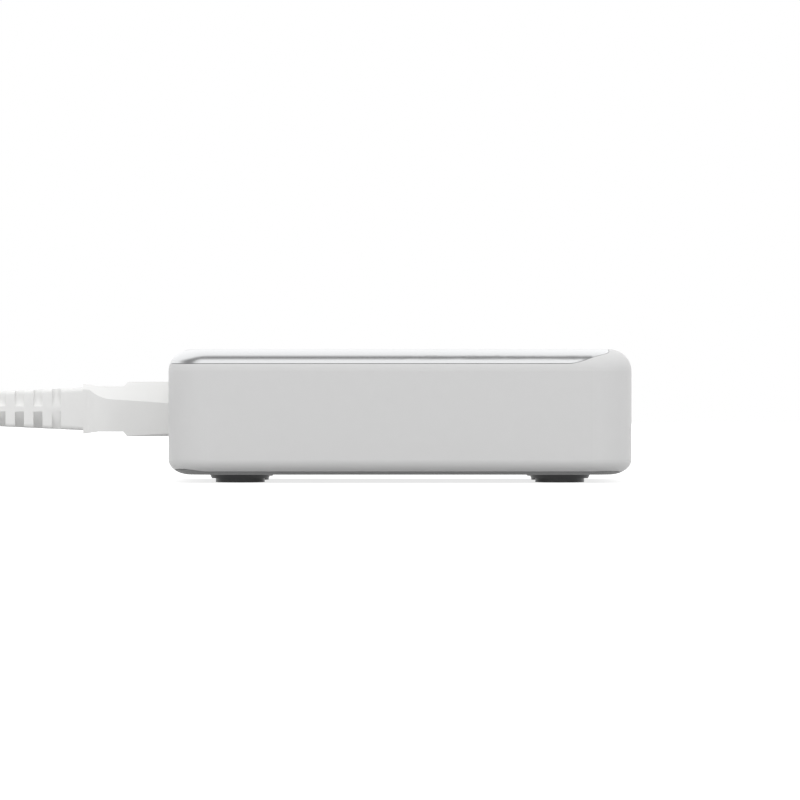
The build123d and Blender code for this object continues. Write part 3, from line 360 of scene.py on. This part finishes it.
# Neck of the connector, in millimetres behind the charger and from its own axis: the straight side, the
# curve that draws it in to the strain relief, and the sloping face above
NECK_SIDE = 8.67              # half width at the charger
NECK_TAPER = 0.0583           # what the straight side loses per millimetre
NECK_CURVE = (16.0, 24.6)     # start and end of the curve
NECK_CURVE_RATE = 0.0168      # what the curve takes away, times the way along it to the power below
NECK_CURVE_POWER = 2.5
NECK_ROOT = 5.22              # half width where the strain relief starts
NECK_ROOT_BLEND = 0.3         # how softly the curve meets the strain relief
NECK_CUTS = 24                # sections that are added along the curve
SLOPE_FOOT = 1.56             # level of the sloping face at the full half width
SLOPE_RISE = 1.1128           # its rise per millimetre towards the middle
LEAST_SLOPE = 1.0             # the sloping face is at least as high as this
SLOPE_PLAY = 0.02             # how far a point of the sloping face may lie from it
SIDE_PLAY = 0.06              # how far a point of the side may lie inside it
MERGED = 0.001                # distance of points that are one
CREASE = 28.0                 # degrees; a sharper edge stays an edge


def neck_half_width(behind):
    """Half width of the neck, drawn in along its curve."""
    straight = NECK_SIDE - NECK_TAPER * behind
    beyond = straight - NECK_CURVE_RATE * (behind - NECK_CURVE[0]) ** NECK_CURVE_POWER - NECK_ROOT
    return NECK_ROOT + (beyond + hypot(beyond, NECK_ROOT_BLEND)) / 2


def slope_level(half_width):
    """Level at which the sloping face has that half width."""
    return SLOPE_FOOT + SLOPE_RISE * (NECK_SIDE - half_width)


def draw_in(ring, behind, axis):
    """Moves the points of one section of the neck to its new half width and its new edge.

    Points of the top and of the strain relief stay where they are."""
    levels = [(vertex.co.z - axis) / MM for vertex in ring]
    old = max(abs(vertex.co.y) for vertex in ring) / MM
    new = neck_half_width(behind)
    old_edge, new_edge = slope_level(old), slope_level(new)
    bottom, top = min(levels), max(max(levels), old_edge + LEAST_SLOPE)
    for vertex, level in zip(ring, levels):
        half = abs(vertex.co.y) / MM
        # the sloping face
        if abs(level - slope_level(half)) < SLOPE_PLAY:
            level = new_edge + (level - old_edge) * (top - new_edge) / (top - old_edge)
            half = NECK_SIDE - (level - SLOPE_FOOT) / SLOPE_RISE
        # the sides and the underside
        elif half > old - SIDE_PLAY or level < bottom + SLOPE_PLAY:
            level = bottom + (level - bottom) * (new_edge - bottom) / (old_edge - bottom)
            half *= new / old
        vertex.co.y = copysign(half * MM, vertex.co.y)
        vertex.co.z = axis + level * MM


def connector_mesh(name):
    """Mesh of the connector whose neck runs into the strain relief in one soft curve."""
    low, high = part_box(name)
    axis = (low.z + high.z) / 2
    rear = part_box("main_housing")[0].x
    start, end = NECK_CURVE
    mesh = NODES[name].data.copy()
    shape = bmesh.new()
    shape.from_mesh(mesh)
    bmesh.ops.remove_doubles(shape, verts=shape.verts, dist=MERGED * MM)
    for i in range(NECK_CUTS):
        place = rear - (start + (end - start) * i / NECK_CUTS) * MM
        everything = shape.verts[:] + shape.edges[:] + shape.faces[:]
        bmesh.ops.bisect_plane(shape, geom=everything, dist=MERGED * MM, plane_co=(place, 0.0, axis),
                               plane_no=(1.0, 0.0, 0.0))
    rings = {}
    for vertex in shape.verts:
        behind = round((rear - vertex.co.x) / MM, 3)
        if start < behind <= end:
            rings.setdefault(behind, []).append(vertex)
    for behind, ring in rings.items():
        draw_in(ring, behind, axis)
    bmesh.ops.triangulate(shape, faces=shape.faces)
    for face in shape.faces:
        face.smooth = True
    for edge in shape.edges:
        edge.smooth = edge.calc_face_angle(pi) < radians(CREASE)
    shape.to_mesh(mesh)
    shape.free()
    # the normals of the CAD mesh no longer fit
    mesh.attributes.remove(mesh.attributes["custom_normal"])
    return mesh


class CHARGER_OT_connector(bpy.types.Operator):
    """Finishes the mains inlet and the plug, and moulds the connector of the lead"""

    bl_idname = "charger.connector"
    bl_label = "Inlet, connector and plug"

    def execute(self, context):
        # moulded PBT polyester: off-white, slightly glossy
        dress(grained("PBT, moulded", linear("#DADAD7"), roughness=0.38, grain=0.4, relief=0.002, spread=0.01,
                      IOR=1.55), "inlet_body")
        # flexible PVC moulded over the cord: white and matt, with a fine eroded grain
        soft = grained("PVC, moulded soft", context.scene.charger.colours.lead, roughness=0.52, grain=0.4,
                       relief=0.004, spread=0.008, IOR=1.53)
        dress(soft, "mains_plug")
        mesh = connector_mesh("lead_connector")
        mesh.materials.clear()
        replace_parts(add_piece("connector_moulding", mesh, soft), "lead_connector")
        # nickel plated brass: warm silver with drawing lines along the pin
        dress(grained("Brass, nickel plated", linear("#CBC5BA"), roughness=0.26, grain=0.15, relief=0.0015,
                      spread=0.05, stretch=(15.0, 1.0, 1.0), Metallic=1.0),
              "inlet_pin", "plug_blade", "plug_earth_pin")
        return {"FINISHED"}


# Route of the cord from the end of the strain relief, in millimetres, as the CAD model has it
LEAD_STEPS = [(0.0, 0.0, 0.0), (-18.0, 0.0, 0.0), (-36.5, -4.5, -7.0), (-53.5, -14.0, -14.2),
              (-66.5, -21.5, -16.0)]
COIL_PLACE = (-85.5, 11.8)
COIL_START = -60.0            # degrees; the turns run clockwise from here, seen from above
COIL_TURNED = 1280.0          # degrees from the start of the coil to its tail
# degrees over which the cord passes from one place in the coil to the next
INWARD = (285.0, 375.0)
UPWARD = (610.0, 695.0)
OUTWARD = (935.0, 1020.0)
# the tail: degrees round a middle of its own, and millimetres above the upper layer
TAIL_STEPS = [(62.0, 3.4), (28.0, 6.4), (-6.0, 9.0), (-40.0, 11.8), (-74.0, 14.5), (-106.0, 14.5)]
TAIL_RADIUS = 33.0
TAIL_SHIFT = 6.0              # its middle from that of the coil
TAIL_START = 62.0             # degrees; the way it is shifted
CORD_ORDER = 3
CORD_STEPS = 6                # steps from one control point to the next
CORD_ROUND_STEPS = 6          # steps in a quarter of its outline


def passed(turned, span):
    """Share of a passage that is done: 0 before it, 1 after it, with smooth ends."""
    share = min(1.0, max(0.0, (turned - span[0]) / (span[1] - span[0])))
    return share * share * (3.0 - 2.0 * share)


def cord_points(cord, exit_point):
    """Control points of the cord: down to the table, round the coil, and up to the plug."""
    points = [exit_point + Vector(step) * MM for step in LEAD_STEPS]
    centre = exit_point + Vector((COIL_PLACE[0], COIL_PLACE[1], 0.0)) * MM
    step = 360.0 / cord.steps
    # a spline of this order runs inside its control points on a circle by this share
    inside = 0.75 + 0.25 * cos(radians(step))
    width = cord.outer_radius - cord.inner_radius
    height = cord.high_layer - cord.low_layer
    for i in range(1, int(COIL_TURNED / step) + 1):
        turned = i * step
        radius = cord.outer_radius - width * (passed(turned, INWARD) - passed(turned, OUTWARD))
        level = cord.low_layer + height * passed(turned, UPWARD)
        angle = radians(COIL_START - turned)
        points.append(Vector((centre.x + radius / inside * cos(angle),
                              centre.y + radius / inside * sin(angle), level)))
    lean = radians(TAIL_START)
    middle = centre + Vector((cos(lean), sin(lean), 0.0)) * TAIL_SHIFT * MM
    for degrees, rise in TAIL_STEPS:
        angle = radians(degrees)
        points.append(Vector((middle.x + TAIL_RADIUS * MM * cos(angle),
                              middle.y + TAIL_RADIUS * MM * sin(angle), cord.high_layer + rise * MM)))
    return points


class CHARGER_OT_cord(bpy.types.Operator):
    """Lays the mains cord from the connector round its coil to the plug"""

    bl_idname = "charger.cord"
    bl_label = "Mains cord"

    def execute(self, context):
        settings = context.scene.charger
        cord = settings.cord
        low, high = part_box("lead_connector")
        exit_point = Vector((low.x, 0.0, (low.z + high.z) / 2))
        curve = bpy.data.curves.new("mains_cord", "CURVE")
        curve.dimensions = "3D"
        curve.bevel_depth = cord.diameter / 2
        curve.bevel_resolution = CORD_ROUND_STEPS
        curve.use_fill_caps = True
        points = cord_points(cord, exit_point)
        spline = curve.splines.new("NURBS")
        spline.points.add(len(points) - 1)
        for point, place in zip(spline.points, points):
            point.co = (*place, 1.0)
        spline.order_u = CORD_ORDER
        spline.use_endpoint_u = True
        spline.resolution_u = CORD_STEPS
        # extruded PVC jacket: white and matt, with a slightly uneven skin
        jacket = grained("PVC, extruded jacket", settings.colours.lead, roughness=0.5, grain=0.6,
                         relief=0.006, spread=0.012, IOR=1.53)
        piece = add_piece("mains_cord", curve, jacket)
        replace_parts(piece, "lead_cord", "lead_coil", "lead_tail")
        on_cord = [NODES[name] for name in sorted(NODES)
                   if name.startswith(("lead_contact", "plug_", "mains_plug", "cord_tie"))]
        on_cord.append(bpy.data.objects["connector_moulding"])
        return {"FINISHED"}


class CHARGER_OT_tie(bpy.types.Operator):
    """Finishes the tie around the coil"""

    bl_idname = "charger.tie"
    bl_label = "Cord tie"

    def execute(self, context):
        low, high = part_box("cord_tie")
        coil_low, coil_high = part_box("lead_coil")
        reach = (low + high) / 2 - (coil_low + coil_high) / 2
        # woven nylon hook and loop tape: black, matt and fuzzy, in a plain weave of 1 mm
        dress(woven("Nylon, woven loop tape", context.scene.charger.colours.tie, roughness=0.85, pitch=1.0,
                    relief=0.12, turn=atan2(reach.y, reach.x), **{"Sheen Weight": 0.4}), "cord_tie")
        return {"FINISHED"}


class CHARGER_OT_electronics(bpy.types.Operator):
    """Finishes the boards and the components inside"""

    bl_idname = "charger.electronics"
    bl_label = "Boards and components"

    def execute(self, context):
        # glass cloth laminate under green solder mask: glossy, with the cloth's weave just showing
        dress(woven("FR-4, solder mask", linear("#14532E"), roughness=0.3, pitch=0.9, relief=0.01, turn=0.0,
                    IOR=1.55), "main_board", "port_board")
        # polyester film: amber and smooth
        dress(grained("Polyester film", linear("#B88B4A"), roughness=0.25, grain=2.0, relief=0.002, IOR=1.6),
              "insulating_sheet")
        # sintered ferrite: charcoal, dull, with open grain
        dress(grained("Ferrite, sintered", linear("#2B2B2D"), roughness=0.7, grain=0.3, relief=0.02,
                      spread=0.08), "inductor_core", "transformer_core", "choke_core")
        # phenolic bobbins: black with a slight gloss
        dress(grained("Phenolic, moulded", linear("#202022"), roughness=0.42, grain=0.4, relief=0.004),
              "inductor_bobbin", "transformer_bobbin")
        # enamelled copper wire, 0.6 mm: brown-red with a varnished gloss
        dress(ribbed("Copper wire, enamelled", linear("#A4532B"), roughness=0.28, pitch=0.6, relief=0.15,
                     axis="Z", Metallic=0.8), "inductor_winding", "transformer_winding", "choke_windings")
        # rolled aluminium sheet: silver with lines along the roll
        dress(grained("Aluminium, rolled", linear("#CFD0D2"), roughness=0.35, grain=0.2, relief=0.002,
                      spread=0.05, stretch=(20.0, 20.0, 1.0), Metallic=1.0),
              "rectifier_heatsink", "switch_heatsink")
        # shrunk polyester sleeve over the cans: dark blue-grey and glossy
        dress(grained("Polyester sleeve, shrunk", linear("#2A2E38"), roughness=0.25, grain=1.5, relief=0.005,
                      IOR=1.6), "output_capacitor", "bulk_capacitor")
        # epoxy-filled polypropylene box: yellow and smooth
        dress(grained("Polypropylene box", linear("#DDB32E"), roughness=0.32, grain=0.6, relief=0.003),
              "film_capacitor")
        # thermoset cap of the fuse: dark brown
        dress(grained("Thermoset, moulded", linear("#4B2619"), roughness=0.3, grain=0.5, relief=0.003),
              "fuse")
        # dipped epoxy: blue, glossy and slightly uneven
        dress(grained("Epoxy, dipped", linear("#23539E"), roughness=0.18, grain=1.2, relief=0.03),
              "safety_capacitor")
        # epoxy moulding compound of the packages: black, dull and fine grained
        dress(grained("Epoxy compound, moulded", linear("#1D1D1F"), roughness=0.6, grain=0.25, relief=0.006),
              "bridge_rectifier", "mains_switch")
        return {"FINISHED"}


FLOOR_STEPS = 96
FLOOR_ALBEDO = 0.45
FLOOR_GLOW = 0.78             # what the floor gives off to the camera beside what it reflects
FLOOR_GLOW_SPAN = (0.35, 1.1)  # metres from the charger over which that rises to the full white
SENSOR_WIDTH = 36.0           # of the camera, in millimetres
TARGET = Vector((0.0, 0.0, 0.02))       # what the softboxes face
LAMP_DISTANCE = 2.2
LAMP_SIZE = (1.6, 1.1)
# title, azimuth from the camera's side towards the right, elevation, radiance
LAMPS = [
    ("right_softbox", 50.0, 22.0, 1.85),
    ("left_softbox", -50.0, 22.0, 1.75),
    ("top_softbox", 0.0, 80.0, 2.3),
]
# White walls that go up from the front, over the top and down to the back, with a dark slot between two of
# them: degrees from the front horizon, and share of the full radiance there
STUDIO_BANDS = [(0.0, 0.76), (28.0, 0.8), (42.0, 0.92), (62.0, 0.92), (70.0, 0.2), (81.0, 0.2), (91.0, 0.88),
                (104.0, 0.92), (125.0, 0.98), (150.0, 1.0), (172.0, 0.8), (180.0, 0.75)]
# The slot bends back and widens at the sides: where it starts to, sideways per height, and how strongly
BEND_START = 0.5
BEND_SHARE = 0.5
BEND_END = 1.7
SLOT_BACK = 84.0              # degrees from the front horizon; it widens from here to the front
SLOT_WIDENING = 1.8
# It ends in a light wall: where that starts and is reached, sideways per height, and its share of the
# full radiance
SIDE_WALL = (1.3, 2.0)
SIDE_WALL_SHARE = 0.85
# Sockets of a mix of colours, by number because they share their names with others
MIX_SHARE, MIX_FIRST, MIX_SECOND, MIX_RESULT = 0, 6, 7, 2


def floor_material():
    """Matt white paper: plain to the camera and in reflections, mid grey to the light that it throws back."""
    material = bpy.data.materials.new("Paper, matt white")
    material.use_nodes = True
    material.cycles.emission_sampling = "NONE"
    tree = material.node_tree
    tree.nodes.clear()
    path = add_node(tree, "ShaderNodeLightPath")
    glossy = add_math(tree, "MAXIMUM", path.outputs["Is Camera Ray"], path.outputs["Is Glossy Ray"])
    seen = add_math(tree, "MAXIMUM", glossy, path.outputs["Is Transmission Ray"])
    place = add_node(tree, "ShaderNodeTexCoord")
    away = add_node(tree, "ShaderNodeVectorMath", {"operation": "LENGTH"}, {0: place.outputs["Object"]})
    glow = add_node(tree, "ShaderNodeMapRange",
                    {"From Min": FLOOR_GLOW_SPAN[0], "From Max": FLOOR_GLOW_SPAN[1], "To Min": FLOOR_GLOW,
                     "To Max": 1.0},
                    {"Value": away.outputs["Value"]})
    strength = add_math(tree, "MULTIPLY", glow.outputs["Result"], seen)
    light = add_node(tree, "ShaderNodeEmission", {"Color": grey(1.0)}, {"Strength": strength})
    paper = add_node(tree, "ShaderNodeBsdfDiffuse", {"Color": grey(FLOOR_ALBEDO)})
    both = add_node(tree, "ShaderNodeAddShader",
                    links={0: light.outputs["Emission"], 1: paper.outputs["BSDF"]})
    add_node(tree, "ShaderNodeOutputMaterial", links={"Surface": both.outputs["Shader"]})
    return material


def floor_mesh(radius):
    """Round floor."""
    shape = bmesh.new()
    bmesh.ops.create_circle(shape, cap_ends=True, segments=FLOOR_STEPS, radius=radius)
    mesh = bpy.data.meshes.new("studio_floor")
    shape.to_mesh(mesh)
    shape.free()
    return mesh


def studio_world(radiance):
    """White walls all round with one dark slot above the front, plain white behind the picture."""
    world = bpy.data.worlds.new("White studio")
    world.use_nodes = True
    tree = world.node_tree
    tree.nodes.clear()
    place = add_node(tree, "ShaderNodeTexCoord")
    parts = add_node(tree, "ShaderNodeSeparateXYZ", links={"Vector": place.outputs["Generated"]})
    x, y, z = (parts.outputs[name] for name in "XYZ")
    lean = add_math(tree, "DIVIDE", add_math(tree, "ABSOLUTE", x), z)
    beyond = add_node(tree, "ShaderNodeMapRange",
                      {"From Min": BEND_START, "From Max": BEND_END, "To Max": BEND_END - BEND_START},
                      {"Value": lean}).outputs["Result"]
    bend = add_math(tree, "MULTIPLY", add_math(tree, "MULTIPLY", beyond, beyond), BEND_SHARE)
    front = add_math(tree, "SUBTRACT", add_math(tree, "MULTIPLY", bend, z), y)
    angle = add_math(tree, "ARCTAN2", z, front)
    behind = radians(SLOT_BACK)
    width = add_math(tree, "MULTIPLY_ADD", beyond, SLOT_WIDENING, 1.0)
    narrowed = add_math(tree, "DIVIDE", add_math(tree, "SUBTRACT", angle, behind), width)
    share = add_math(tree, "MULTIPLY_ADD", narrowed, 1.0 / pi, behind / pi)
    bands = add_node(tree, "ShaderNodeValToRGB", links={"Fac": share})
    while len(bands.color_ramp.elements) < len(STUDIO_BANDS):
        bands.color_ramp.elements.new(1.0)
    for stop, (degrees, level) in zip(bands.color_ramp.elements, STUDIO_BANDS):
        stop.position = degrees / 180.0
        stop.color = grey(level)
    reached = add_node(tree, "ShaderNodeMapRange",
                       {"interpolation_type": "SMOOTHSTEP", "From Min": SIDE_WALL[0],
                        "From Max": SIDE_WALL[1]},
                       {"Value": lean})
    colour = add_node(tree, "ShaderNodeMix", {"data_type": "RGBA", MIX_SECOND: grey(SIDE_WALL_SHARE)},
                      {MIX_SHARE: reached.outputs["Result"], MIX_FIRST: bands.outputs["Color"]})
    walls = add_node(tree, "ShaderNodeBackground", {"Strength": radiance},
                     {"Color": colour.outputs[MIX_RESULT]})
    plain = add_node(tree, "ShaderNodeBackground", {"Color": grey(1.0), "Strength": 1.0})
    path = add_node(tree, "ShaderNodeLightPath")
    both = add_node(tree, "ShaderNodeMixShader", links={0: path.outputs["Is Camera Ray"],
                                                        1: walls.outputs["Background"],
                                                        2: plain.outputs["Background"]})
    add_node(tree, "ShaderNodeOutputWorld", links={"Surface": both.outputs["Shader"]})
    return world


def add_lamp(title, azimuth, elevation, radiance):
    """Softbox that faces the charger and shows neither in the picture nor in the polished top."""
    light = bpy.data.lights.new(title, "AREA")
    light.shape = "RECTANGLE"
    width, height = LAMP_SIZE
    light.size = width
    light.size_y = height
    light.energy = radiance * pi * width * height
    lamp = bpy.data.objects.new(title, light)
    turn, rise = radians(azimuth), radians(elevation)
    away = Vector((sin(turn) * cos(rise), -cos(turn) * cos(rise), sin(rise)))
    lamp.location = TARGET + LAMP_DISTANCE * away
    side = Vector((cos(turn), sin(turn), 0.0))
    lamp.rotation_euler = Matrix((side, away.cross(side), away)).transposed().to_euler()
    lamp.visible_camera = False
    lamp.visible_glossy = False
    bpy.context.scene.collection.objects.link(lamp)


class CHARGER_OT_stage(bpy.types.Operator):
    """Sets up the floor, the lamps, the walls and the camera"""

    bl_idname = "charger.stage"
    bl_label = "Studio"

    def execute(self, context):
        scene = context.scene
        stage = scene.charger.stage
        floor = bpy.data.objects.new("studio_floor", floor_mesh(stage.floor_radius))
        floor.data.materials.append(floor_material())
        scene.collection.objects.link(floor)
        for lamp in LAMPS:
            add_lamp(*lamp)
        scene.world = studio_world(stage.studio)
        scene.view_settings.view_transform = "Standard"
        camera = bpy.data.cameras.new("camera")
        camera.sensor_width = SENSOR_WIDTH
        camera.lens = SENSOR_WIDTH / 2 * stage.camera_distance / stage.half_view
        eye = bpy.data.objects.new("camera", camera)
        eye.location = (0.0, -stage.camera_distance, stage.camera_height)
        eye.rotation_euler = (pi / 2, 0.0, 0.0)
        scene.collection.objects.link(eye)
        scene.camera = eye
        return {"FINISHED"}


OPERATORS = [CHARGER_OT_shell, CHARGER_OT_feet, CHARGER_OT_ports, CHARGER_OT_connector, CHARGER_OT_cord,
             CHARGER_OT_tie, CHARGER_OT_electronics, CHARGER_OT_stage]


class CHARGER_PT_sidebar(bpy.types.Panel):
    """Lists the settings and the pieces of the charger"""

    bl_idname = "CHARGER_PT_sidebar"
    bl_label = "Desktop charger"
    bl_space_type = "VIEW_3D"
    bl_region_type = "UI"
    bl_category = "Charger"

    def draw(self, context):
        settings = context.scene.charger
        for group in (settings.colours, settings.cord, settings.stage):
            box = self.layout.box()
            for name in group.bl_rna.properties.keys():
                if name not in ("rna_type", "name"):
                    box.prop(group, name)
        for operator in OPERATORS:
            self.layout.operator(operator.bl_idname)


CLASSES = [ChargerColours, CordSettings, StageSettings, ChargerSettings, *OPERATORS, CHARGER_PT_sidebar]


def register():
    """Makes the settings, the operators and the panel known."""
    for item in CLASSES:
        bpy.utils.register_class(item)
    bpy.types.Scene.charger = PointerProperty(type=ChargerSettings)


def unregister():
    """Takes them away again."""
    del bpy.types.Scene.charger
    for item in reversed(CLASSES):
        bpy.utils.unregister_class(item)


def main():
    """Builds everything in order."""
    register()
    bpy.ops.charger.shell()
    bpy.ops.charger.feet()
    bpy.ops.charger.ports()
    bpy.ops.charger.connector()
    bpy.ops.charger.cord()
    bpy.ops.charger.tie()
    bpy.ops.charger.electronics()
    bpy.ops.charger.stage()


if __name__ == "__main__":
    main()
